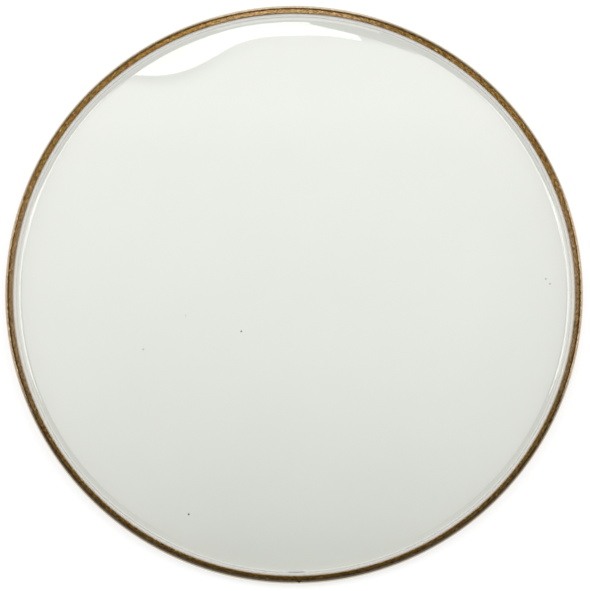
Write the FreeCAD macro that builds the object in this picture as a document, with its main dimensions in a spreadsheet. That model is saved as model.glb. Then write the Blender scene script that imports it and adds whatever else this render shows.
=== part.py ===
import FreeCAD, Part
import math
import os
import Sketcher

# A clear drum head: a formed plastic film whose edge is wrapped round a lock ring, and a
# plated steel channel that is rolled over the two of them. Millimetres and degrees.
# The origin is the middle of the hoop's underside, +Z goes up through the film, and
# -Y points to the side where the channel's two ends meet.

DRIVING_SIZES = [
    ("shell_diameter", 355.6, "outside of the drum shell that the head fits over"),
    ("shell_clearance", 3.75, "radial gap from the shell to the channel's inner wall"),
    ("sheet_thickness", 0.75, "wall of the rolled channel"),
    ("inner_wall_height", 4.6, "top of the channel's inner wall above the underside"),
    ("lip_flat", 1.7, "flat of the channel's rolled-over lip, inwards from the roll"),
    ("edge_round", 0.35, "rounding of the channel's edges on either side of the film"),
    ("channel_seam_gap", 0.15, "gap between the two ends of the channel"),
    ("channel_seam_angle", -89.0, "where the channel's ends meet, about +Z from +X"),
    ("lock_width", 2.55, "lock ring, radially"),
    ("lock_height", 6.8, "lock ring, from its foot to its flat top"),
    ("lock_shoulder", 1.7, "rounding of the lock ring's outer top corner, under the roll"),
    ("lock_corner", 0.3, "rounding of the lock ring's other corners"),
    ("lock_seam_gap", 0.5, "gap between the two ends of the lock ring"),
    ("lock_seam_angle", 90.0, "where the lock ring's ends meet, about +Z from +X"),
    ("fit_clearance", 0.1, "gap from the film to the metal on either side of it"),
    ("film_thickness", 0.254, "film"),
    ("film_tuck", 80.0, "how far the film's edge is turned in over the lock ring"),
    ("playing_height", 16.5, "top of the film above the hoop's underside"),
    ("bearing_setback", 3.4, "where the flat film ends, inside the shell's outer face"),
    ("crown_bend", 4.0, "inside bend of the film over the shell's bearing edge"),
    ("entry_bend", 1.5, "inside bend of the film where it turns down into the channel"),
]

UP = FreeCAD.Vector(0, 0, 1)
CENTRE = FreeCAD.Vector(0, 0, 0)
SIDE_VIEW = FreeCAD.Placement(CENTRE, FreeCAD.Rotation(FreeCAD.Vector(1, 0, 0), 90))


class Size:
    """A size that carries its value and the expression that ties it to the sheet."""

    def __init__(self, value, text):
        self.value = value
        self.text = text

    @staticmethod
    def of(other):
        return other if isinstance(other, Size) else Size(other, repr(other))

    def __add__(self, other):
        other = Size.of(other)
        return Size(self.value + other.value, f"({self.text} + {other.text})")

    def __sub__(self, other):
        other = Size.of(other)
        return Size(self.value - other.value, f"({self.text} - {other.text})")

    def __mul__(self, other):
        other = Size.of(other)
        return Size(self.value * other.value, f"({self.text} * {other.text})")

    def __truediv__(self, other):
        other = Size.of(other)
        return Size(self.value / other.value, f"({self.text} / {other.text})")


def write_sheet(doc):
    """Put the driving sizes in the document's sheet and return them by name."""
    sheet = doc.addObject("Spreadsheet::Sheet", "Sizes")
    named = {}
    for row, (alias, value, note) in enumerate(DRIVING_SIZES, start=1):
        sheet.set(f"A{row}", note)
        sheet.set(f"B{row}", str(value))
        sheet.setAlias(f"B{row}", alias)
        named[alias] = Size(value, f"Sizes.{alias}")
    doc.recompute()
    return named


def point(x, y):
    return FreeCAD.Vector(x, y, 0)


class Stretch:
    """A line or arc of a sketched path, and its points in the order that the path passes them."""

    def __init__(self, index, backwards=False):
        self.whole = (index,)
        self.first = (index, 2 if backwards else 1)
        self.last = (index, 1 if backwards else 2)
        self.middle = (index, 3)


class Profile:
    """A sketch of a half section: across is the distance from the axis, up is the height."""

    def __init__(self, sketch):
        self.sketch = sketch
        self.origin = (-1, 1)
        self.floor = (-1,)
        self.axis = (-2,)

    def line(self, start, end):
        segment = Part.LineSegment(point(*start), point(*end))
        return Stretch(self.sketch.addGeometry(segment, False))

    def arc(self, middle, radius, start, end):
        """An arc from one angle to another, clockwise where the second is the smaller."""
        circle = Part.Circle(point(*middle), UP, radius)
        low, high = sorted((math.radians(start), math.radians(end)))
        turn = Part.ArcOfCircle(circle, low, high)
        return Stretch(self.sketch.addGeometry(turn, False), backwards=start > end)

    def relate(self, kind, *places):
        numbers = [number for place in places for number in place]
        return self.sketch.addConstraint(Sketcher.Constraint(kind, *numbers))

    def run(self, stretches):
        """Join each stretch to the next without a corner."""
        for before, after in zip(stretches, stretches[1:]):
            self.relate("Tangent", before.last, after.first)

    def bind(self, kind, places, size):
        """A measured constraint whose value follows the sheet."""
        in_sketch = math.radians(size.value) if kind == "Angle" else size.value
        index = self.relate(kind, *places, (in_sketch,))
        self.sketch.setExpression(f"Constraints[{index}]", size.text)

    def across(self, place, size):
        self.bind("DistanceX", (self.origin, place), size)

    def up(self, place, size):
        self.bind("DistanceY", (self.origin, place), size)

    def radius(self, turn, size):
        self.bind("Radius", (turn.whole,), size)

    def sweep(self, turn, size):
        self.bind("Angle", (turn.whole,), size)


def sheet_section(doc, name):
    sketch = doc.addObject("Sketcher::SketchObject", name)
    sketch.Placement = SIDE_VIEW
    return sketch


def thicken(doc, name, path, thickness):
    """A strip of even thickness to one side of the sketched path."""
    strip = doc.addObject("Part::Offset2D", name)
    strip.Source = path
    strip.Mode = "Skin"
    strip.Join = "Intersection"
    strip.Fill = True
    strip.setExpression("Value", thickness.text)
    return strip


def spin(doc, name, section, sweep):
    """Turn a section about the axis, evenly to both sides of its plane."""
    ring = doc.addObject("Part::Revolution", name)
    ring.Source = section
    ring.Base = CENTRE
    ring.Axis = UP
    ring.Symmetric = True
    ring.Solid = True
    ring.setExpression("Angle", sweep.text)
    return ring


def sweep_past_gap(gap, radius):
    """The part of a full turn that a ring fills when its ends stand a gap apart."""
    return Size.of(360.0) - gap / radius * 180.0 / Size(math.pi, "pi")


def face_seam(piece, seam_angle):
    """Turn a ring about its axis so that its gap lies at the seam's angle."""
    turned = seam_angle - 180.0
    piece.Placement = FreeCAD.Placement(CENTRE, FreeCAD.Rotation(UP, turned.value))
    piece.setExpression("Placement.Rotation.Angle", turned.text)


def edges_where(shape, test):
    return [f"Edge{n}" for n, edge in enumerate(shape.Edges, start=1) if test(edge)]


def origin_plane(body, role):
    return next(plane for plane in body.Origin.OriginFeatures if plane.Role == role)


class HeadSizes:
    """Sizes that follow from the driving ones, from the axis outwards and upwards."""

    def __init__(self, s):
        wrap = s["film_thickness"] + s["fit_clearance"] * 2
        shell_radius = s["shell_diameter"] / 2
        self.bore = shell_radius + s["shell_clearance"]
        self.lock_inner = self.bore + s["sheet_thickness"] + wrap
        self.lock_outer = self.lock_inner + s["lock_width"]
        self.shoulder_middle = self.lock_outer - s["lock_shoulder"]
        self.hoop_outer = self.lock_outer + wrap + s["sheet_thickness"]
        self.lock_foot = s["sheet_thickness"] + wrap
        self.lock_top = self.lock_foot + s["lock_height"]
        self.roll_height = self.lock_top - s["lock_shoulder"]
        self.channel_corner = s["lock_corner"] + wrap + s["sheet_thickness"]
        self.roll_radius = s["lock_shoulder"] + wrap + s["sheet_thickness"]
        self.lip_top = self.roll_height + self.roll_radius
        self.lip_edge = self.shoulder_middle - s["lip_flat"]
        self.wall_outside = self.bore + s["sheet_thickness"]
        self.leg_inner = self.lock_inner - s["fit_clearance"]
        self.leg_outer = self.lock_outer + s["fit_clearance"]
        self.film_foot = self.lock_foot - s["fit_clearance"]
        self.film_corner = s["lock_corner"] + s["fit_clearance"]
        self.tuck_radius = s["lock_shoulder"] + s["fit_clearance"]
        self.flat_radius = shell_radius - s["bearing_setback"]
        self.crown_outside = s["crown_bend"] + s["film_thickness"]
        self.entry_outside = s["entry_bend"] + s["film_thickness"]


def skirt_lean(h, s):
    """The angle of the skirt's outward normal: the line that touches both its bends."""
    crown_up = s["playing_height"].value - h.crown_outside.value
    run = h.leg_inner.value - h.entry_outside.value - h.flat_radius.value
    fall = crown_up - s["inner_wall_height"].value
    difference = h.crown_outside.value - h.entry_outside.value
    reach = math.hypot(run, fall)
    return math.degrees(math.acos(difference / reach) - math.atan2(fall, run))


def draw_film_path(sketch, h, s):
    """The film's upper side: flat, crown, skirt, then down, under and up round the lock ring."""
    p = Profile(sketch)
    top = s["playing_height"]
    entry = s["inner_wall_height"]
    lean = skirt_lean(h, s)
    crown_middle = (h.flat_radius.value, (top - h.crown_outside).value)
    entry_middle = ((h.leg_inner - h.entry_outside).value, entry.value)
    normal = (math.cos(math.radians(lean)), math.sin(math.radians(lean)))
    skirt_top = [m + h.crown_outside.value * n for m, n in zip(crown_middle, normal)]
    skirt_foot = [m + h.entry_outside.value * n for m, n in zip(entry_middle, normal)]
    low = (h.film_foot + h.film_corner).value
    near = (h.leg_inner + h.film_corner).value
    far = (h.leg_outer - h.film_corner).value
    foot = h.film_foot.value
    corner = h.film_corner.value
    roll_up = h.roll_height.value

    flat = p.line((0, top.value), (h.flat_radius.value, top.value))
    crown = p.arc(crown_middle, h.crown_outside.value, 90, lean)
    skirt = p.line(skirt_top, skirt_foot)
    entry_turn = p.arc(entry_middle, h.entry_outside.value, lean, 0)
    inner_leg = p.line((h.leg_inner.value, entry.value), (h.leg_inner.value, low))
    near_turn = p.arc((near, low), corner, 180, 270)
    under = p.line((near, foot), (far, foot))
    far_turn = p.arc((far, low), corner, 270, 360)
    outer_leg = p.line((h.leg_outer.value, low), (h.leg_outer.value, roll_up))
    shoulder_middle = (h.shoulder_middle.value, roll_up)
    tuck = p.arc(shoulder_middle, h.tuck_radius.value, 0, s["film_tuck"].value)

    p.run([flat, crown, skirt, entry_turn, inner_leg, near_turn, under, far_turn, outer_leg, tuck])
    p.relate("Horizontal", flat.whole)
    p.relate("Vertical", inner_leg.whole)
    p.relate("Horizontal", under.whole)
    p.relate("Vertical", outer_leg.whole)
    p.relate("PointOnObject", flat.first, p.axis)
    p.up(flat.first, top)
    p.across(flat.last, h.flat_radius)
    p.radius(crown, h.crown_outside)
    p.radius(entry_turn, h.entry_outside)
    p.up(entry_turn.last, entry)
    p.across(inner_leg.last, h.leg_inner)
    p.radius(near_turn, h.film_corner)
    p.up(under.first, h.film_foot)
    p.radius(far_turn, h.film_corner)
    p.across(outer_leg.first, h.leg_outer)
    p.up(tuck.middle, h.roll_height)
    p.radius(tuck, h.tuck_radius)
    p.sweep(tuck, s["film_tuck"])


def make_film(doc, h, s):
    path = sheet_section(doc, "FilmPath")
    draw_film_path(path, h, s)
    section = thicken(doc, "FilmSection", path, Size.of(-1.0) * s["film_thickness"])
    film = spin(doc, "Film", section, Size.of(360.0))
    film.Label = "film"
    return film


def draw_channel_path(sketch, h, s):
    """The channel's outer side: inner wall, floor, outer wall, and the lip rolled over the top."""
    p = Profile(sketch)
    bore = h.bore.value
    outer = h.hoop_outer.value
    corner = h.channel_corner.value
    roll_up = h.roll_height.value
    lip_top = h.lip_top.value
    shoulder_middle = (h.shoulder_middle.value, roll_up)

    inner_wall = p.line((bore, s["inner_wall_height"].value), (bore, corner))
    near_turn = p.arc((bore + corner, corner), corner, 180, 270)
    floor = p.line((bore + corner, 0), (outer - corner, 0))
    far_turn = p.arc((outer - corner, corner), corner, 270, 360)
    outer_wall = p.line((outer, corner), (outer, roll_up))
    roll = p.arc(shoulder_middle, h.roll_radius.value, 0, 90)
    lip = p.line((h.shoulder_middle.value, lip_top), (h.lip_edge.value, lip_top))

    p.run([inner_wall, near_turn, floor, far_turn, outer_wall, roll, lip])
    p.relate("Vertical", inner_wall.whole)
    p.relate("Horizontal", floor.whole)
    p.relate("Vertical", outer_wall.whole)
    p.relate("Horizontal", lip.whole)
    p.relate("PointOnObject", floor.first, p.floor)
    p.across(inner_wall.first, h.bore)
    p.up(inner_wall.first, s["inner_wall_height"])
    p.radius(near_turn, h.channel_corner)
    p.radius(far_turn, h.channel_corner)
    p.across(outer_wall.first, h.hoop_outer)
    p.radius(roll, h.roll_radius)
    p.up(lip.first, h.lip_top)
    p.across(lip.last, h.lip_edge)


def is_rim(radius, height):
    """A test for the edge that runs round the axis at this radius and height."""

    def test(edge):
        if not isinstance(edge.Curve, Part.Circle):
            return False
        level = edge.Curve.Center.z
        return math.isclose(edge.Curve.Radius, radius.value) and math.isclose(level, height.value)

    return test


def make_hoop_channel(doc, h, s):
    path = sheet_section(doc, "ChannelPath")
    draw_channel_path(path, h, s)
    section = thicken(doc, "ChannelSection", path, s["sheet_thickness"])
    sweep = sweep_past_gap(s["channel_seam_gap"], h.hoop_outer)
    rolled = spin(doc, "RolledChannel", section, sweep)
    doc.recompute()
    body = doc.addObject("PartDesign::Body", "HoopChannel")
    body.Label = "hoop_channel"
    body.BaseFeature = rolled
    doc.recompute()
    square_edged = body.Tip
    wall_rim = edges_where(square_edged.Shape, is_rim(h.wall_outside, s["inner_wall_height"]))
    lip_rim = edges_where(square_edged.Shape, is_rim(h.lip_edge, h.lip_top))
    rounded = body.newObject("PartDesign::Fillet", "RoundedRims")
    rounded.Base = (square_edged, wall_rim + lip_rim)
    rounded.setExpression("Radius", s["edge_round"].text)
    body.Tip = rounded
    face_seam(body, s["channel_seam_angle"])
    return body


def draw_lock_section(sketch, h, s):
    """The lock ring's section: a flat bar, well rounded where the channel is rolled over it."""
    p = Profile(sketch)
    inner = h.lock_inner.value
    outer = h.lock_outer.value
    foot = h.lock_foot.value
    top = h.lock_top.value
    corner = s["lock_corner"].value
    low = foot + corner
    high = top - corner
    shoulder = s["lock_shoulder"].value
    shoulder_middle = (h.shoulder_middle.value, h.roll_height.value)

    base = p.line((inner + corner, foot), (outer - corner, foot))
    far_turn = p.arc((outer - corner, low), corner, 270, 360)
    outer_side = p.line((outer, low), (outer, h.roll_height.value))
    shoulder_turn = p.arc(shoulder_middle, shoulder, 0, 90)
    crest = p.line((h.shoulder_middle.value, top), (inner + corner, top))
    crest_turn = p.arc((inner + corner, high), corner, 90, 180)
    inner_side = p.line((inner, high), (inner, low))
    near_turn = p.arc((inner + corner, low), corner, 180, 270)

    p.run([base, far_turn, outer_side, shoulder_turn, crest, crest_turn, inner_side, near_turn, base])
    p.relate("Horizontal", base.whole)
    p.relate("Vertical", outer_side.whole)
    p.relate("Horizontal", crest.whole)
    p.relate("Vertical", inner_side.whole)
    p.relate("Equal", near_turn.whole, far_turn.whole)
    p.relate("Equal", near_turn.whole, crest_turn.whole)
    p.radius(near_turn, s["lock_corner"])
    p.radius(shoulder_turn, s["lock_shoulder"])
    p.across(inner_side.first, h.lock_inner)
    p.across(outer_side.first, h.lock_outer)
    p.up(base.first, h.lock_foot)
    p.up(crest.first, h.lock_top)


def make_lock_ring(doc, h, s):
    body = doc.addObject("PartDesign::Body", "LockRing")
    body.Label = "lock_ring"
    section = body.newObject("Sketcher::SketchObject", "LockSection")
    section.AttachmentSupport = [(origin_plane(body, "XZ_Plane"), "")]
    section.MapMode = "FlatFace"
    draw_lock_section(section, h, s)
    doc.recompute()
    ring = body.newObject("PartDesign::Revolution", "RolledBar")
    ring.Profile = section
    ring.ReferenceAxis = (section, ["V_Axis"])
    ring.Midplane = True
    ring.setExpression("Angle", sweep_past_gap(s["lock_seam_gap"], h.lock_outer).text)
    body.Tip = ring
    doc.recompute()
    face_seam(body, s["lock_seam_angle"])
    return body


def check(doc, pieces):
    """Stop if anything in the document failed, or a piece isn't one sound solid."""
    for obj in doc.Objects:
        if {"Invalid", "Error"} & set(obj.State):
            raise RuntimeError(f"{obj.Name} failed: {obj.State}")
    for piece in pieces:
        shape = piece.Shape
        if shape.isNull() or not shape.isValid() or len(shape.Solids) != 1:
            raise RuntimeError(f"{piece.Label} isn't one valid solid")


def main():
    doc = FreeCAD.newDocument("drum_head")
    sizes = write_sheet(doc)
    derived = HeadSizes(sizes)
    pieces = [make(doc, derived, sizes) for make in (make_film, make_hoop_channel, make_lock_ring)]
    doc.recompute()
    check(doc, pieces)
    os.makedirs("parts", exist_ok=True)
    for piece in pieces:
        piece.Shape.exportStep(f"parts/{piece.Label}.step")
        box = piece.Shape.optimalBoundingBox()
        size = f"{box.XLength:.2f} x {box.YLength:.2f} x {box.ZLength:.2f}"
        print(f"{piece.Label}: {size} mm, {piece.Shape.Volume:.0f} mm3")


main()
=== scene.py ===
import math

import bpy
import numpy as np
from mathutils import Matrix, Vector


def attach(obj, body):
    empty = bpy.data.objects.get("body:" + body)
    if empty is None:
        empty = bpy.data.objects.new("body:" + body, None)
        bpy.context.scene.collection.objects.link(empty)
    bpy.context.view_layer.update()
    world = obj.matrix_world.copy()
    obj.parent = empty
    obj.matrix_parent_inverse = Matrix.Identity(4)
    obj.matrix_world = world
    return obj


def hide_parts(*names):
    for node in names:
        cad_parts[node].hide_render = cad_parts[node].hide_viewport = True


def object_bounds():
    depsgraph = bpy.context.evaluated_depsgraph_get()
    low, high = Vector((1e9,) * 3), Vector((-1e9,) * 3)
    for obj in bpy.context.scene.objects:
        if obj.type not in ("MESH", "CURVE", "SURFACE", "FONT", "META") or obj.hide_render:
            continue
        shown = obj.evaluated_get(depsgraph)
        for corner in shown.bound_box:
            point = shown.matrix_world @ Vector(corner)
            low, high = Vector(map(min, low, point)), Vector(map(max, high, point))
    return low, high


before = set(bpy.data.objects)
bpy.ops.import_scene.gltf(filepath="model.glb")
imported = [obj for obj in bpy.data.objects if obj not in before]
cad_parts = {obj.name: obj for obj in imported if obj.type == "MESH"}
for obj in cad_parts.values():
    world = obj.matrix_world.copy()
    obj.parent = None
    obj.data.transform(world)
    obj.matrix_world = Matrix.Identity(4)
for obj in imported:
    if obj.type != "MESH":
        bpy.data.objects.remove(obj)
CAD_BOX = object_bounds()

# The head's sizes in millimetres, as in its solids, but for the lip, which is drawn 0.6 mm wider.
# +X is to the right in the photograph, +Y to its top, and +Z comes out of the playing face.
MM = 0.001
SHELL_RADIUS = 177.8
SHELL_CLEARANCE = 3.75
BORE = SHELL_RADIUS + SHELL_CLEARANCE
SHEET = 0.75
WALL_TOP = 4.6
RIM_ROUND = 0.15
LIP_BREAK = 0.05
LIP_FLAT = 2.3

FILM = 0.254
FIT = 0.1
WRAP = FILM + 2 * FIT
LOCK_WIDTH = 2.55
LOCK_HEIGHT = 6.8
LOCK_SHOULDER = 1.7
LOCK_CORNER = 0.3

HOOP_OUTER = min(-CAD_BOX[0][0], -CAD_BOX[0][1], CAD_BOX[1][0], CAD_BOX[1][1]) / MM
ROLL_RADIUS = LOCK_SHOULDER + WRAP + SHEET
ROLL_UP = SHEET + WRAP + LOCK_HEIGHT - LOCK_SHOULDER
CHANNEL_CORNER = LOCK_CORNER + WRAP + SHEET

PLAYING_HEIGHT = 16.5
BEARING_SETBACK = 3.4
FLAT_RADIUS = SHELL_RADIUS - BEARING_SETBACK
CROWN_BEND = 4.0
CROWN_RADIUS = CROWN_BEND + FILM
ENTRY_BEND = 1.5
ENTRY_RADIUS = ENTRY_BEND + FILM
LEG_INNER = BORE + SHEET + WRAP - FIT
LEG_OUTER = LEG_INNER + LOCK_WIDTH + 2 * FIT
FILM_FOOT = SHEET + WRAP - FIT
FILM_CORNER = LOCK_CORNER + FIT
TUCK_RADIUS = LOCK_SHOULDER + FIT
TUCK_ANGLE = 80.0

# The film's slack. Waves are (depth, number round the head, lag in radians). The droop lies
# towards eleven o'clock, and just past twelve the crown is eased over its last millimetres.
WAVES = ((0.04, 2, 0.6), (0.02, 5, 2.1))
DROOP = 0.46
DROOP_START = 131.5
DROOP_ANGLE = 115.5
DROOP_SPREAD = 10.7
DROOP_POWER = 2.5
EASED = 3.2
EASED_DROP = 0.5
EASED_ANGLE = 79.0
EASED_SPREAD = 9.0

# The skirt's pleats: their depth, their waves as (number round the head, lag in radians), and the
# sum of the waves at which a pleat begins.
PLEAT = 0.12
PLEAT_WAVES = ((97, 0.0), (143, 1.7), (61, 0.4))
PLEAT_FLOOR = 0.9

# The channel's closed seam: depth and half width of its groove, and of the nick on the roll.
SEAM_ANGLE = -89.0
SEAM_GROOVE = 0.25
SEAM_GROOVE_HALF = 0.3
SEAM_NICK = 0.45
SEAM_NICK_HALF = 1.9

# Rows of the meshes: how many go round, where the film's face has closer ones, how far from the
# seam the hoop has closer ones, and how many points of the channel's outline lie on its outside.
ROWS_ROUND = 720
CLOSER_FROM = 120.0
SEAM_ROWS = (0.0, 0.1, 0.2, 0.3, 0.6, 0.9, 1.2, 1.6, 1.9, 2.4)
OUTSIDE_POINTS = 48


# Outlines

def walk(start, heading, moves, aside=0.0):
    """Points along a bent path, and along its parallel at a distance to its right.

    A straight move goes on by its length. A bend goes round a circle that touches the path:
    to the left where its angle is positive, to the right where it is negative. The parallel
    keeps the straights, and its bends have the distance added on the left and taken off on
    the right.
    """
    turn = math.radians(heading)
    here = np.array(start, float) + aside * np.array([math.sin(turn), -math.cos(turn)])
    points = [here[None, :]]
    for size, angle, count in moves:
        share = np.linspace(0.0, 1.0, count + 1)[1:, None]
        if angle == 0:
            along = np.array([math.cos(turn), math.sin(turn)])
            step = here + size * share * along
        else:
            side = math.copysign(1.0, angle)
            radius = size + side * aside
            middle = here + side * radius * np.array([-math.sin(turn), math.cos(turn)])
            swept = turn + math.radians(angle) * share
            step = middle + side * radius * np.hstack([np.sin(swept), -np.cos(swept)])
            turn += math.radians(angle)
        points.append(step)
        here = step[-1]
    return np.vstack(points)


def film_side(aside):
    """One face of the film: flat, crown, skirt, and the edge down, under and up in the hoop.

    The skirt is the line that touches the circles of the crown and of the entry.
    """
    run = LEG_INNER - ENTRY_RADIUS - FLAT_RADIUS
    fall = PLAYING_HEIGHT - CROWN_RADIUS - WALL_TOP
    apart = math.hypot(run, fall)
    difference = CROWN_RADIUS - ENTRY_RADIUS
    lean = math.degrees(math.acos(difference / apart) - math.atan2(fall, run))
    skirt = math.sqrt(apart ** 2 - difference ** 2)
    low = FILM_FOOT + FILM_CORNER
    moves = [
        (CLOSER_FROM, 0, 3),
        (FLAT_RADIUS - CLOSER_FROM - EASED, 0, 13),
        (EASED, 0, 8),
        (CROWN_RADIUS, lean - 90.0, 12),
        (skirt, 0, 7),
        (ENTRY_RADIUS, -lean, 6),
        (WALL_TOP - low, 0, 1),
        (FILM_CORNER, 90.0, 3),
        (LEG_OUTER - LEG_INNER - 2 * FILM_CORNER, 0, 1),
        (FILM_CORNER, 90.0, 3),
        (ROLL_UP - low, 0, 1),
        (TUCK_RADIUS, TUCK_ANGLE, 4),
    ]
    return walk((0.0, PLAYING_HEIGHT), 0.0, moves, aside)


def channel_outline():
    """The channel's section as one closed walk, with its metal on the left.

    It goes down the bore, under, up the outer wall and over the roll to the lip's edge, and
    back along the inside to the inner wall's rim.
    """
    across = HOOP_OUTER - BORE - 2 * CHANNEL_CORNER
    inside_corner = CHANNEL_CORNER - SHEET
    rim = SHEET - 2 * RIM_ROUND
    lip_edge = SHEET - LIP_BREAK - RIM_ROUND
    moves = [
        (WALL_TOP - RIM_ROUND - CHANNEL_CORNER, 0, 2),
        (CHANNEL_CORNER, 90.0, 8),
        (across, 0, 2),
        (CHANNEL_CORNER, 90.0, 8),
        (ROLL_UP - CHANNEL_CORNER, 0, 3),
        (ROLL_RADIUS, 90.0, 20),
        (LIP_FLAT - LIP_BREAK, 0, 4),
        (LIP_BREAK, 90.0, 4),
        (lip_edge, 0, 1),
        (RIM_ROUND, 90.0, 4),
        (LIP_FLAT - RIM_ROUND, 0, 1),
        (ROLL_RADIUS - SHEET, -90.0, 8),
        (ROLL_UP - CHANNEL_CORNER, 0, 1),
        (inside_corner, -90.0, 4),
        (across, 0, 1),
        (inside_corner, -90.0, 4),
        (WALL_TOP - RIM_ROUND - CHANNEL_CORNER, 0, 1),
        (RIM_ROUND, 90.0, 4),
        (rim, 0, 1),
        (RIM_ROUND, 90.0, 4),
    ]
    return walk((BORE, WALL_TOP - RIM_ROUND), -90.0, moves)[:-1]


# Meshes

def carry_round(outline, angles):
    """Carry an outline of (distance from the axis, height) round the axis.

    Row by angle, column by outline point: x is the distance times the angle's cosine, y is the
    distance times its sine, and z is the height.
    """
    distance, height = outline[:, 0], outline[:, 1]
    x = np.cos(angles)[:, None] * distance
    y = np.sin(angles)[:, None] * distance
    return np.stack([x, y, np.broadcast_to(height, x.shape)], axis=-1)


def grid_faces(rows, columns, close_rows, close_columns):
    """Quads between neighbouring rows and columns, facing out from metal on the outline's left."""
    row = np.arange(rows if close_rows else rows - 1)[:, None]
    column = np.arange(columns if close_columns else columns - 1)[None, :]
    next_row, next_column = (row + 1) % rows, (column + 1) % columns
    corners = [
        row * columns + column,
        next_row * columns + column,
        next_row * columns + next_column,
        row * columns + next_column,
    ]
    return np.stack(np.broadcast_arrays(*corners), axis=-1).reshape(-1, 4)


def make_piece(name, points, faces, material, sharp=35.0):
    """A smooth-shaded mesh object at the origin, with its corners over the sharp angle kept."""
    mesh = bpy.data.meshes.new(name)
    mesh.from_pydata((points.reshape(-1, 3) * MM).tolist(), [], faces)
    mesh.polygons.foreach_set("use_smooth", np.ones(len(mesh.polygons), bool))
    mesh.set_sharp_from_angle(angle=math.radians(sharp))
    mesh.materials.append(material)
    mesh.update()
    piece = bpy.data.objects.new(name, mesh)
    bpy.context.scene.collection.objects.link(piece)
    return piece


def swell(angle, middle, spread):
    """One at a direction in degrees, and falling off round the head as a bell curve."""
    off = np.degrees(np.angle(np.exp(1j * (angle - math.radians(middle)))))
    return np.exp(-((off / spread) ** 2))


def film_sag(x, y):
    """How far the slack film lies below its flat, in millimetres.

    Long low waves over the face grow with the square of the distance from the middle, and
    towards eleven o'clock the film droops to its crown as a power of the distance past a circle
    inside it. Just past twelve the crown is eased: the film falls with the square of the distance
    over the last few millimetres before it.
    """
    distance = np.hypot(x, y)
    angle = np.arctan2(y, x)
    reach = distance / FLAT_RADIUS
    waves = sum(depth * (1 + np.cos(count * angle + lag)) for depth, count, lag in WAVES)
    droop = DROOP * swell(angle, DROOP_ANGLE, DROOP_SPREAD)
    past = np.clip((distance - DROOP_START) / (FLAT_RADIUS - DROOP_START), 0.0, 1.0)
    eased = EASED_DROP * swell(angle, EASED_ANGLE, EASED_SPREAD)
    near_crown = np.clip((distance - FLAT_RADIUS + EASED) / EASED, 0.0, 1.0)
    return waves * reach ** 2 + droop * past ** DROOP_POWER + eased * near_crown ** 2


def pleat_depth(angle, height):
    """How far the skirt is drawn in by its pleats, in millimetres, by angle and height.

    Three waves round the head, of numbers that share no factor, are added up and only the upper
    part of the sum is kept, so that single narrow pleats stand apart. They are deepest half way up
    the skirt and die out at the crown and at the hoop.
    """
    waves = sum(np.cos(count * angle + lag) for count, lag in PLEAT_WAVES)
    narrow = np.clip((waves - PLEAT_FLOOR) / (len(PLEAT_WAVES) - PLEAT_FLOOR), 0.0, 1.0)
    up = np.clip((height - WALL_TOP) / (PLAYING_HEIGHT - WALL_TOP), 0.0, 1.0)
    return PLEAT * narrow * np.sin(math.pi * up) ** 2


def make_film(material):
    """The film: both its faces carried round the axis, pleated, sagging, and closed at the middle.

    The sag is whole at the playing height and falls evenly to nothing at the hoop.
    """
    under, top = film_side(FILM), film_side(0.0)
    outline = np.vstack([under[1:], top[:0:-1]])
    angles = np.linspace(0.0, 2 * math.pi, ROWS_ROUND, endpoint=False)
    points = carry_round(outline, angles)
    pleats = pleat_depth(angles[:, None], outline[:, 1])
    drawn_in = np.where(outline[:, 0] < LEG_INNER, pleats, 0.0)
    points[..., :2] *= (1.0 - drawn_in / outline[:, 0])[..., None]
    held = np.clip((points[..., 2] - WALL_TOP) / (PLAYING_HEIGHT - WALL_TOP), 0.0, 1.0)
    points[..., 2] -= held * film_sag(points[..., 0], points[..., 1])
    rows, columns = points.shape[:2]
    faces = grid_faces(rows, columns, True, False).tolist()
    row = np.arange(rows)
    after = (row + 1) % rows
    low, high = rows * columns, rows * columns + 1
    under_here, top_here = row * columns, row * columns + columns - 1
    under_next, top_next = after * columns, after * columns + columns - 1
    faces += np.stack([row * 0 + low, under_next, under_here], axis=-1).tolist()
    faces += np.stack([row * 0 + high, top_here, top_next], axis=-1).tolist()
    middles = np.array([[0.0, 0.0, PLAYING_HEIGHT - FILM], [0.0, 0.0, PLAYING_HEIGHT]])
    return make_piece("film_clear", np.vstack([points.reshape(-1, 3), middles]), faces, material)


def seam_depth(from_seam, outline):
    """How deep the closed seam is pressed into the channel's outside, in millimetres.

    A narrow groove follows the seam all round the section, falling straight to its middle. On the
    roll it widens to a nick, deepest where the roll leans halfway over.
    """
    distance, height = outline[:, 0], outline[:, 1]
    out_on_roll = np.clip((distance - HOOP_OUTER + ROLL_RADIUS) / ROLL_RADIUS, 0.0, 1.0)
    up_on_roll = np.clip((height - ROLL_UP) / ROLL_RADIUS, 0.0, 1.0)
    on_roll = np.clip(2.0 * out_on_roll * up_on_roll, 0.0, 1.0)
    groove = SEAM_GROOVE * np.clip(1.0 - np.abs(from_seam) / SEAM_GROOVE_HALF, 0.0, 1.0)
    nick = SEAM_NICK * np.clip(1.0 - np.abs(from_seam) / SEAM_NICK_HALF, 0.0, 1.0)
    depth = np.maximum(groove[:, None], nick[:, None] * on_roll)
    return np.where(np.arange(len(outline)) < OUTSIDE_POINTS, depth, 0.0)


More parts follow.
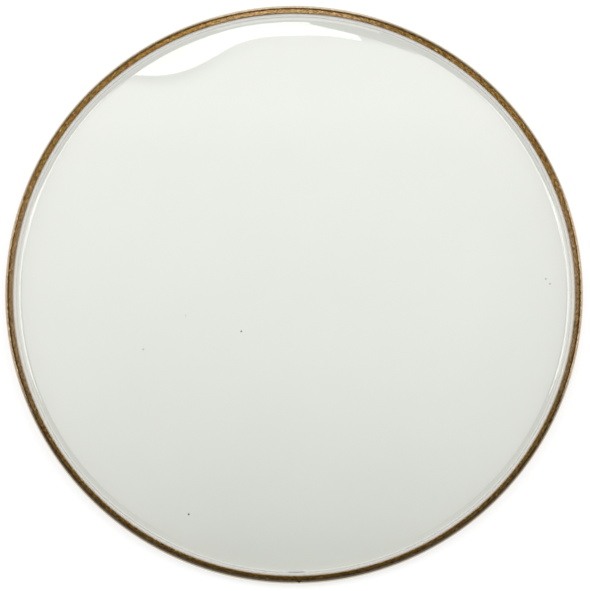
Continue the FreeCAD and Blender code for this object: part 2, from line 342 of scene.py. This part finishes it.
def make_hoop(material):
    """The hoop: the channel's section carried once round, with its seam pressed in.

    The rows stand close together beside the seam. The section's outside moves in along its normals
    by the seam's depth there.
    """
    outline = channel_outline()
    ahead, behind = np.roll(outline, -1, axis=0), np.roll(outline, 1, axis=0)
    along = ahead - behind
    along /= np.linalg.norm(along, axis=1, keepdims=True)
    inwards = np.stack([-along[:, 1], along[:, 0]], axis=-1)
    close = np.array(SEAM_ROWS) / HOOP_OUTER
    rest = np.linspace(close[-1], 2 * math.pi - close[-1], ROWS_ROUND)
    turned = np.concatenate([close, rest[1:-1], 2 * math.pi - close[:0:-1]])
    from_seam = np.minimum(turned, 2 * math.pi - turned) * HOOP_OUTER
    depth = seam_depth(from_seam, outline)
    distance = outline[:, 0] + depth * inwards[:, 0]
    height = outline[:, 1] + depth * inwards[:, 1]
    angles = (math.radians(SEAM_ANGLE) + turned)[:, None]
    points = np.stack([np.cos(angles) * distance, np.sin(angles) * distance, height], axis=-1)
    rows, columns = points.shape[:2]
    faces = grid_faces(rows, columns, True, True).tolist()
    return make_piece("hoop_rolled", points, faces, material)


# Nodes

def new_material(name):
    material = bpy.data.materials.new(name)
    material.use_nodes = True
    material.node_tree.nodes.clear()
    return material, material.node_tree


def node(tree, kind, **settings):
    made = tree.nodes.new(kind)
    for key, value in settings.items():
        setattr(made, key, value)
    return made


def join(tree, source, target):
    tree.links.new(source, target)


def show(tree, shader, output="ShaderNodeOutputMaterial"):
    """Put a shader on the surface, or on the world's background."""
    join(tree, shader.outputs[0], node(tree, output).inputs["Surface"])


def math_node(tree, operation, first, second=None):
    """A Math node on two values, each a socket or a number."""
    made = node(tree, "ShaderNodeMath", operation=operation)
    for socket, value in zip(made.inputs, (first, second)):
        if value is None:
            continue
        if isinstance(value, (int, float)):
            socket.default_value = value
        else:
            join(tree, value, socket)
    return made.outputs[0]


def times(tree, first, second):
    return math_node(tree, "MULTIPLY", first, second)


def off_from(tree, value, middle):
    """How far a value is from a number, on either side."""
    return math_node(tree, "ABSOLUTE", math_node(tree, "SUBTRACT", value, middle))


def map_range(tree, value, low, high, to_low, to_high, smooth=False):
    """A value carried from one range to another, clamped at its ends."""
    made = node(tree, "ShaderNodeMapRange")
    if smooth:
        made.interpolation_type = "SMOOTHSTEP"
    names = ("From Min", "From Max", "To Min", "To Max")
    for name, number in zip(names, (low, high, to_low, to_high)):
        made.inputs[name].default_value = number
    join(tree, value, made.inputs["Value"])
    return made.outputs[0]


def mix_colour(tree, share, first, colour, blend="MIX"):
    """A colour socket, mixed or multiplied by a share with a plain colour."""
    made = node(tree, "ShaderNodeMix", data_type="RGBA", blend_type=blend)
    join(tree, share, made.inputs["Factor"])
    join(tree, first, made.inputs["A"])
    made.inputs["B"].default_value = (*colour, 1.0)
    return made.outputs["Result"]


def ramp(tree, value, stops):
    """A colour ramp from (position, colour) stops."""
    made = node(tree, "ShaderNodeValToRGB")
    elements = made.color_ramp.elements
    while len(elements) < len(stops):
        elements.new(0.5)
    for element, (position, colour) in zip(elements, stops):
        element.position = position
        element.color = (*colour, 1.0)
    join(tree, value, made.inputs[0])
    return made.outputs[0]


def split_place(tree, place):
    """A place's x, y and z, and its distance from the head's axis."""
    parts = node(tree, "ShaderNodeSeparateXYZ")
    join(tree, place, parts.inputs[0])
    x, y, z = parts.outputs
    squares = math_node(tree, "ADD", times(tree, x, x), times(tree, y, y))
    return x, y, z, math_node(tree, "SQRT", squares)


def bump_lines(tree, lines, strength):
    """A bump of a twentieth of a millimetre along streaks."""
    bump = node(tree, "ShaderNodeBump")
    bump.inputs["Strength"].default_value = strength
    bump.inputs["Distance"].default_value = 0.05 * MM
    join(tree, lines, bump.inputs["Height"])
    return bump.outputs[0]


def make_rolled_streaks():
    """Streaks that run round the hoop: noise on the direction from the axis, which changes slowly,
    and on the distance less the height, which changes fast."""
    group = bpy.data.node_groups.new("rolled_streaks", "ShaderNodeTree")
    sockets = group.interface
    sockets.new_socket("Place", in_out="INPUT", socket_type="NodeSocketVector")
    sockets.new_socket("Round", in_out="INPUT", socket_type="NodeSocketFloat")
    sockets.new_socket("Across", in_out="INPUT", socket_type="NodeSocketFloat")
    sockets.new_socket("Streaks", in_out="OUTPUT", socket_type="NodeSocketFloat")
    given = node(group, "NodeGroupInput")
    result = node(group, "NodeGroupOutput")
    x, y, z, distance = split_place(group, given.outputs["Place"])
    east = times(group, math_node(group, "DIVIDE", x, distance), given.outputs["Round"])
    north = times(group, math_node(group, "DIVIDE", y, distance), given.outputs["Round"])
    level = times(group, math_node(group, "SUBTRACT", distance, z), given.outputs["Across"])
    stretched = node(group, "ShaderNodeCombineXYZ")
    for value, socket in zip((east, north, level), stretched.inputs):
        join(group, value, socket)
    noise = node(group, "ShaderNodeTexNoise")
    noise.inputs["Scale"].default_value = 1.0
    noise.inputs["Detail"].default_value = 3.0
    noise.inputs["Roughness"].default_value = 0.6
    join(group, stretched.outputs[0], noise.inputs["Vector"])
    join(group, noise.outputs["Fac"], result.inputs["Streaks"])
    return group


def place_streaks(tree, group, place, round_scale, across_scale):
    made = node(tree, "ShaderNodeGroup", node_tree=group)
    join(tree, place, made.inputs["Place"])
    made.inputs["Round"].default_value = round_scale
    made.inputs["Across"].default_value = across_scale
    return made.outputs["Streaks"]


# Plating. Streaks are (scale round the hoop, scale across it). Four numbers are a range: the first
# two are carried to the last two. Ranges by the ends count from 0 at three and nine o'clock to 1 at
# six and twelve, and ranges by the foot or the top from -1 at six to 1 at twelve.
BROAD_STREAKS = (75.0, 900.0)
FINE_STREAKS = (60.0, 5000.0)
DASHES = (95.0, 1500.0)
DASH_BRIGHTNESS = (0.36, 0.68, 0.42, 1.7)
PLATING_STOPS = [
    (0.34, (0.060, 0.029, 0.009)),
    (0.41, (0.185, 0.066, 0.019)),
    (0.46, (0.125, 0.070, 0.019)),
    (0.52, (0.104, 0.074, 0.014)),
    (0.57, (0.172, 0.091, 0.022)),
    (0.63, (0.142, 0.094, 0.030)),
    (0.71, (0.370, 0.240, 0.100)),
]

# Painted highlight: the lip's inner half is painted a paler tan at the sides and at the top, where
# the light falls on it.
LIP_HIGHLIGHT_TAN = (0.180, 0.118, 0.060)
LIP_HIGHLIGHT_BY_ENDS = (0.15, 0.5, 0.85, 0.0)
LIP_HIGHLIGHT_BY_TOP = (0.93, 0.99, 0.0, 0.7)
LIP_HIGHLIGHT_INSIDE = (184.0 * MM, 183.0 * MM, 0.0, 1.0)

# Painted shade: a darker brown line where the roll begins, at the sides only.
SHADE_BROWN = (0.26, 0.19, 0.11)
SHADE_LINE = 184.3
SHADE_LINE_WIDTH = (0.2 * MM, 0.65 * MM, 1.0, 0.0)
SHADE_LINE_BY_ENDS = (0.3, 0.9, 0.95, 0.0)

# Painted reflection: the outer shoulder and wall are painted pale, wider at the foot, in place of
# the white floor mirrored there.
PAINTED_PALE = (0.78, 0.69, 0.54)
PALE_WANDER = (0.3, 0.7, -0.25 * MM, 0.25 * MM)
PALE_WIDER_AT_FOOT = (-0.9, -0.15, 1.6 * MM, 0.4 * MM)
PALE_WIDER_AT_TOP = (0.2, 0.8, 0.0, 0.2 * MM)
PALE_OUT = (185.0 * MM, 186.8 * MM, 0.0, 0.95)
PALE_UP = (3.0 * MM, 6.3 * MM, 0.2, 1.0)
PALE_LESS_AT_FOOT = (-0.9, 0.3, 0.75, 1.0)
PALE_LESS_AT_TOP = (0.92, 0.99, 1.0, 0.95)
# Painted light: the bore and the rim beside the film lie in the lip's shade and are painted pale.
PALE_RIM_BORE = (182.6 * MM, 182.4 * MM, 0.0, 1.0)
PALE_RIM_HEIGHT = (5.6 * MM, 5.2 * MM, 0.0, 1.0)
RIM_DULLNESS = 0.35

NICK_BROWN = (0.03, 0.014, 0.005)
NICK_FROM = 184.2
NICK_TAPER = (184.6 * MM, 186.2 * MM, 0.0, 1.9 * MM)
NICK_EDGE = (1.4 * MM, 2.1 * MM, 0.95, 0.0)

SATIN = (0.3, 0.7, 0.14, 0.24)


def nick_mask(tree, x, y, distance):
    """Where the seam's nick is dark: a wedge from the roll's start that narrows outwards."""
    seam = math.radians(SEAM_ANGLE)
    east, north = math.cos(seam), math.sin(seam)
    across = math_node(tree, "SUBTRACT", times(tree, x, north), times(tree, y, east))
    outwards = math_node(tree, "ADD", times(tree, x, east), times(tree, y, north))
    taper = map_range(tree, distance, *NICK_TAPER)
    beside = math_node(tree, "ADD", math_node(tree, "ABSOLUTE", across), taper)
    nick = map_range(tree, beside, *NICK_EDGE)
    nick = times(tree, nick, math_node(tree, "GREATER_THAN", outwards, 0.0))
    return times(tree, nick, math_node(tree, "GREATER_THAN", distance, NICK_FROM * MM))


def make_yellow_plating(streaks):
    """Zinc plating with a yellow passivation: gold to brown, with red and olive streaks round it,
    lighter and darker dashes, and a painted shade of darker brown along the line where the roll
    begins, at the sides.

    The lip's inner half has a painted highlight of paler tan at the sides and at the top. The
    outer shoulder and wall are painted pale, wider at the foot, as a painted reflection of the
    floor. The bore and the rim beside the film, in the lip's shade, are painted pale as painted
    light. The seam's nick is dark.
    """
    material, tree = new_material("yellow_plating")
    place = node(tree, "ShaderNodeTexCoord").outputs["Object"]
    x, y, z, distance = split_place(tree, place)
    ends = math_node(tree, "DIVIDE", math_node(tree, "ABSOLUTE", y), distance)
    top = math_node(tree, "DIVIDE", y, distance)
    broad = place_streaks(tree, streaks, place, *BROAD_STREAKS)
    fine = place_streaks(tree, streaks, place, *FINE_STREAKS)
    dashes = place_streaks(tree, streaks, place, *DASHES)

    # Painted highlight: a paler tan on the lip's inner half at the sides and at the top.
    lip_highlight = math_node(tree, "MAXIMUM",
                      map_range(tree, ends, *LIP_HIGHLIGHT_BY_ENDS, smooth=True),
                      map_range(tree, top, *LIP_HIGHLIGHT_BY_TOP, smooth=True))
    lip_highlight = times(tree, lip_highlight, map_range(tree, distance, *LIP_HIGHLIGHT_INSIDE))
    colour = mix_colour(tree, lip_highlight, ramp(tree, broad, PLATING_STOPS), LIP_HIGHLIGHT_TAN)
    dashed = node(tree, "ShaderNodeVectorMath", operation="SCALE")
    join(tree, colour, dashed.inputs[0])
    join(tree, map_range(tree, dashes, *DASH_BRIGHTNESS), dashed.inputs["Scale"])

    # Painted shade: a darker brown line where the roll begins, at the sides.
    off_line = off_from(tree, distance, SHADE_LINE * MM)
    shaded_line = times(tree, map_range(tree, off_line, *SHADE_LINE_WIDTH, smooth=True),
                    map_range(tree, ends, *SHADE_LINE_BY_ENDS))
    colour = mix_colour(tree, shaded_line, dashed.outputs[0], SHADE_BROWN, blend="MULTIPLY")

    # Painted reflection: the outer shoulder and wall painted pale, wider at the foot.
    wider = math_node(tree, "ADD", map_range(tree, top, *PALE_WIDER_AT_FOOT),
                      map_range(tree, top, *PALE_WIDER_AT_TOP))
    wandered = math_node(tree, "ADD", distance, map_range(tree, broad, *PALE_WANDER))
    shoulder_reflection = map_range(tree, math_node(tree, "ADD", wandered, wider), *PALE_OUT)
    shoulder_reflection = times(tree, shoulder_reflection, map_range(tree, z, *PALE_UP))
    shoulder_reflection = times(tree, shoulder_reflection, map_range(tree, top, *PALE_LESS_AT_FOOT))
    shoulder_reflection = times(tree, shoulder_reflection, map_range(tree, top, *PALE_LESS_AT_TOP))
    # Painted light: the bore and the rim beside the film, in the lip's shade, painted pale.
    rim = times(tree, map_range(tree, distance, *PALE_RIM_BORE), map_range(tree, z, *PALE_RIM_HEIGHT))
    colour = mix_colour(tree, math_node(tree, "MAXIMUM", shoulder_reflection, rim), colour, PAINTED_PALE)
    colour = mix_colour(tree, nick_mask(tree, x, y, distance), colour, NICK_BROWN)

    satin = map_range(tree, fine, *SATIN)
    roughness = math_node(tree, "ADD", satin, times(tree, rim, RIM_DULLNESS))
    metal = node(tree, "ShaderNodeBsdfPrincipled")
    metal.inputs["Metallic"].default_value = 1.0
    join(tree, colour, metal.inputs["Base Color"])
    join(tree, roughness, metal.inputs["Roughness"])
    join(tree, bump_lines(tree, fine, strength=0.15), metal.inputs["Normal"])
    show(tree, metal)
    return material


WIRE_LINES = (20.0, 4000.0)
WIRE_STOPS = [(0.3, (0.10, 0.098, 0.095)), (0.7, (0.17, 0.165, 0.16))]


def make_drawn_bar(streaks):
    """Drawn steel wire: dark grey with fine lines along it."""
    material, tree = new_material("drawn_bar")
    place = node(tree, "ShaderNodeTexCoord").outputs["Object"]
    lines = place_streaks(tree, streaks, place, *WIRE_LINES)
    metal = node(tree, "ShaderNodeBsdfPrincipled")
    metal.inputs["Metallic"].default_value = 1.0
    metal.inputs["Roughness"].default_value = 0.35
    join(tree, ramp(tree, lines, WIRE_STOPS), metal.inputs["Base Color"])
    join(tree, bump_lines(tree, lines, strength=0.2), metal.inputs["Normal"])
    show(tree, metal)
    return material


# Film. The clouds change its tint and its polish a little.
FILM_INDEX = 1.66
FILM_TINT = (0.853, 0.863, 0.835)
CLOUD_TINTS = ((0.3, 0.996), (0.7, 1.004))
CLOUD_POLISH = (0.3, 0.7, 0.015, 0.03)
SKIRT_TINT = (0.917, 0.915, 0.903)
SKIRT_BELOW = (13.6 * MM, 12.4 * MM, 0.0, 1.0)
SKIRT_CREASES = 0.6
DUST_AND_MARK_GREY = (0.22, 0.21, 0.20)

# Specks of dust on the face: right, up and radius in millimetres.
SPECKS = [
    (-33.8, -23.5, 0.68),
    (-69.5, -13.3, 0.44),
    (-81.1, -18.5, 0.32),
    (-96.6, -35.1, 0.52),
    (161.5, 10.1, 0.52),
    (164.1, 6.9, 0.50),
    (-67.5, -140.8, 0.74),
]

# A short grey mark along the skirt, at the foot.
GREY_MARK_LINE = 178.1
GREY_MARK_MIDDLE = 1.5
GREY_MARK_ACROSS = (0.25 * MM, 0.6 * MM, 0.35, 0.0)
GREY_MARK_ALONG = (4.6 * MM, 5.6 * MM, 1.0, 0.0)


def dust_and_mark_mask(tree, place, x, y, distance):
    """Where the film is greyed: round dust specks that fade over their outer half, and the mark."""
    grey_mark = times(tree, map_range(tree, off_from(tree, distance, GREY_MARK_LINE * MM), *GREY_MARK_ACROSS),
                  map_range(tree, off_from(tree, x, GREY_MARK_MIDDLE * MM), *GREY_MARK_ALONG))
    greyed = times(tree, grey_mark, math_node(tree, "LESS_THAN", y, 0.0))
    for right, up, radius in SPECKS:
        apart = node(tree, "ShaderNodeVectorMath", operation="DISTANCE")
        apart.inputs[1].default_value = (right * MM, up * MM, PLAYING_HEIGHT * MM)
        join(tree, place, apart.inputs[0])
        speck = map_range(tree, apart.outputs["Value"], 0.5 * radius * MM, radius * MM, 1.0, 0.0)
        greyed = math_node(tree, "MAXIMUM", greyed, speck)
    return greyed


def make_clear_film():
    """Clear polyester film: each face lets most light through with a grey-green cast and mirrors
    the rest by Fresnel's law.

    It is faintly cloudy. The skirt below the crown is drawn thin and clear and dulled by fine
    creases, with a short grey mark at the foot, and a few specks of dust lie on the face.
    """
    material, tree = new_material("clear_film")
    place = node(tree, "ShaderNodeTexCoord").outputs["Object"]
    x, y, z, distance = split_place(tree, place)
    clouds = node(tree, "ShaderNodeTexNoise")
    clouds.inputs["Scale"].default_value = 14.0
    clouds.inputs["Detail"].default_value = 4.0
    join(tree, place, clouds.inputs["Vector"])
    cloud = clouds.outputs["Fac"]
    stops = [(position, tuple(share * part for part in FILM_TINT))
             for position, share in CLOUD_TINTS]
    on_skirt = map_range(tree, z, *SKIRT_BELOW, smooth=True)
    tint = mix_colour(tree, on_skirt, ramp(tree, cloud, stops), SKIRT_TINT)
    tint = mix_colour(tree, dust_and_mark_mask(tree, place, x, y, distance), tint, DUST_AND_MARK_GREY)
    index = node(tree, "ShaderNodeMix", data_type="FLOAT")
    index.inputs["A"].default_value = FILM_INDEX
    index.inputs["B"].default_value = 1.0 / FILM_INDEX
    join(tree, node(tree, "ShaderNodeNewGeometry").outputs["Backfacing"], index.inputs["Factor"])
    mirror_share = node(tree, "ShaderNodeFresnel")
    join(tree, index.outputs[0], mirror_share.inputs["IOR"])
    clear = node(tree, "ShaderNodeBsdfTransparent")
    join(tree, tint, clear.inputs["Color"])
    gloss = node(tree, "ShaderNodeBsdfGlossy")
    gloss.inputs["Color"].default_value = (1.0, 1.0, 1.0, 1.0)
    polished = map_range(tree, cloud, *CLOUD_POLISH)
    creased = times(tree, on_skirt, SKIRT_CREASES)
    join(tree, math_node(tree, "ADD", polished, creased), gloss.inputs["Roughness"])
    both = node(tree, "ShaderNodeMixShader")
    join(tree, mirror_share.outputs[0], both.inputs[0])
    join(tree, clear.outputs[0], both.inputs[1])
    join(tree, gloss.outputs[0], both.inputs[2])
    show(tree, both)
    return material


# Studio. The paper under the head is in millimetres, the lamps and the camera are in metres.
FLOOR_ALBEDO = (0.40, 0.40, 0.398)
FLOOR_GLOW = 0.66
FLOOR_HALF = 30000.0
FLOOR_LEVEL = -0.2


def make_floor():
    """A large sheet of white paper just under the hoop."""
    material, tree = new_material("studio_paper")
    light_path = node(tree, "ShaderNodeLightPath").outputs
    seen = math_node(tree, "MAXIMUM", light_path["Is Camera Ray"], light_path["Is Glossy Ray"])
    seen = math_node(tree, "MAXIMUM", seen, light_path["Is Transmission Ray"])
    glow = node(tree, "ShaderNodeEmission")
    join(tree, times(tree, seen, FLOOR_GLOW), glow.inputs["Strength"])
    lit = node(tree, "ShaderNodeBsdfDiffuse")
    lit.inputs["Color"].default_value = (*FLOOR_ALBEDO, 1.0)
    both = node(tree, "ShaderNodeAddShader")
    join(tree, lit.outputs[0], both.inputs[0])
    join(tree, glow.outputs[0], both.inputs[1])
    show(tree, both)
    sides = FLOOR_HALF * np.array([[-1.0, -1.0], [1.0, -1.0], [1.0, 1.0], [-1.0, 1.0]])
    corners = np.hstack([sides, np.full((4, 1), FLOOR_LEVEL)])
    floor = make_piece("floor", corners, [[0, 1, 2, 3]], material)


# The ceiling's full brightness, and its shares of it from the foot of the photograph to its top.
OVERHEAD = 3.3
OVERHEAD_SPAN = (-0.16, 0.14, 0.0, 1.0)
OVERHEAD_SHARES = [
    (0.185, 0.04),
    (0.24, 0.22),
    (0.294, 0.34),
    (0.349, 0.45),
    (0.403, 0.535),
    (0.458, 0.62),
    (0.512, 0.68),
    (0.567, 0.735),
    (0.676, 0.82),
    (0.73, 0.86),
    (0.784, 0.975),
    (0.87, 0.98),
    (0.92, 0.55),
    (1.0, 0.22),
]
OVERHEAD_MIDDLE = -0.012
OVERHEAD_SIDES = (0.075, 0.19, 1.0, 0.6)
CEILING_EDGE = (0.82, 0.985, 0.0, 1.0)
WALLS = (-0.5, 0.5, 0.3, 0.7)
HORIZON = (0.50, 0.20, 0.0, 0.9)
HORIZON_BY_NORTH = (-0.8, 0.2, 0.5, 1.0)


def make_room():
    """The studio round the head: a bright ceiling that fades towards the foot of the photograph,
    darker walls, and a pale band along the horizon."""
    world = bpy.data.worlds.new("studio")
    bpy.context.scene.world = world
    world.use_nodes = True
    tree = world.node_tree
    tree.nodes.clear()
    parts = node(tree, "ShaderNodeSeparateXYZ")
    join(tree, node(tree, "ShaderNodeTexCoord").outputs["Generated"], parts.inputs[0])
    east, north, up = parts.outputs
    along = map_range(tree, north, *OVERHEAD_SPAN)
    overhead = ramp(tree, along, [(position, (share,) * 3) for position, share in OVERHEAD_SHARES])
    aside = map_range(tree, off_from(tree, east, OVERHEAD_MIDDLE), *OVERHEAD_SIDES, smooth=True)
    overhead = times(tree, overhead, aside)
    near_zenith = map_range(tree, up, *CEILING_EDGE, smooth=True)
    ceiling = times(tree, times(tree, overhead, near_zenith), OVERHEAD)
    off_zenith = math_node(tree, "SUBTRACT", 1.0, near_zenith)
    walls = times(tree, map_range(tree, north, *WALLS), off_zenith)
    horizon = times(tree, map_range(tree, up, *HORIZON, smooth=True),
                    map_range(tree, north, *HORIZON_BY_NORTH))
    light = math_node(tree, "MAXIMUM", math_node(tree, "ADD", ceiling, walls), horizon)
    background = node(tree, "ShaderNodeBackground")
    join(tree, light, background.inputs["Strength"])
    show(tree, background, "ShaderNodeOutputWorld")


def make_lamp(name, place, aim, width, height, radiance):
    """A rectangular soft lamp of even brightness, aimed at a point."""
    lamp = bpy.data.lights.new(name, "AREA")
    lamp.shape = "RECTANGLE"
    lamp.size, lamp.size_y = width, height
    lamp.energy = radiance * math.pi * width * height
    stand = bpy.data.objects.new(name, lamp)
    stand.location = place
    away = np.subtract(place, aim)
    stand.rotation_euler = Vector(away).to_track_quat("Z", "Y").to_euler()
    stand.visible_camera = False
    bpy.context.scene.collection.objects.link(stand)
    return stand


def make_lights():
    """A softbox and a low panel at the top, and on each side a low panel, a brighter strip above it
    and a softbox towards the top. The right side's panel is a little brighter than the left's."""
    over = (-0.0725, 0.5875)
    north = make_lamp("north_softbox", place=(*over, 1.8), aim=(*over, 0.0),
                      width=0.335, height=0.465, radiance=3.4)
    north.rotation_euler = (0.0, 0.0, 0.0)
    make_lamp("north_panel", place=(0.0, 1.3, 0.40), aim=(0.0, 0.0, 0.40),
              width=0.8, height=0.76, radiance=1.15)
    beside = (0.0, 0.03, 0.0)
    for side in (-1.0, 1.0):
        make_lamp("side_panel", place=(side * 1.379, 0.03, 0.448), aim=beside,
                  width=0.9, height=0.56, radiance=1.4 + 0.2 * side)
        make_lamp("side_strip", place=(side * 1.11, 0.03, 0.932), aim=beside,
                  width=0.9, height=0.56, radiance=3.2)
        make_lamp("side_softbox", place=(side * 0.715, 0.413, 1.37), aim=(0.0, 0.0, 0.0),
                  width=0.55, height=0.60, radiance=3.2)


# The camera's height in metres, and the hoop's circle in the photograph in pixels: its radius, and
# how far its centre lies to the right and up.
CAMERA_HEIGHT = 1.6
SENSOR_WIDTH = 36.0
FRAME_WIDTH = 590
HOOP_PIXELS = 289.0
HOOP_CENTRE_OFFSET = (-1.0, 0.8)


def make_camera():
    """A long lens straight above the head, so placed that the hoop's circle has the photograph's
    radius and centre."""
    camera = bpy.data.cameras.new("camera")
    camera.sensor_fit = "HORIZONTAL"
    camera.sensor_width = SENSOR_WIDTH
    reach = HOOP_OUTER * MM / (CAMERA_HEIGHT - ROLL_UP * MM)
    camera.lens = SENSOR_WIDTH * HOOP_PIXELS / (FRAME_WIDTH * reach)
    camera.clip_start = 0.01
    pixel = HOOP_OUTER * MM / HOOP_PIXELS
    stand = bpy.data.objects.new("camera", camera)
    right, up = HOOP_CENTRE_OFFSET
    stand.location = (-right * pixel, -up * pixel, CAMERA_HEIGHT)
    bpy.context.scene.collection.objects.link(stand)
    bpy.context.scene.camera = stand


make_camera()
make_floor()
make_room()
make_lights()

streaks = make_rolled_streaks()
film = make_film(make_clear_film())
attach(film, "root")
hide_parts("film")

hoop = make_hoop(make_yellow_plating(streaks))
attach(hoop, "root")
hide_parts("hoop_channel")

lock_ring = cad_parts["lock_ring"]
lock_ring.data.materials.clear()
lock_ring.data.materials.append(make_drawn_bar(streaks))

bpy.context.scene.view_settings.view_transform = "Standard"
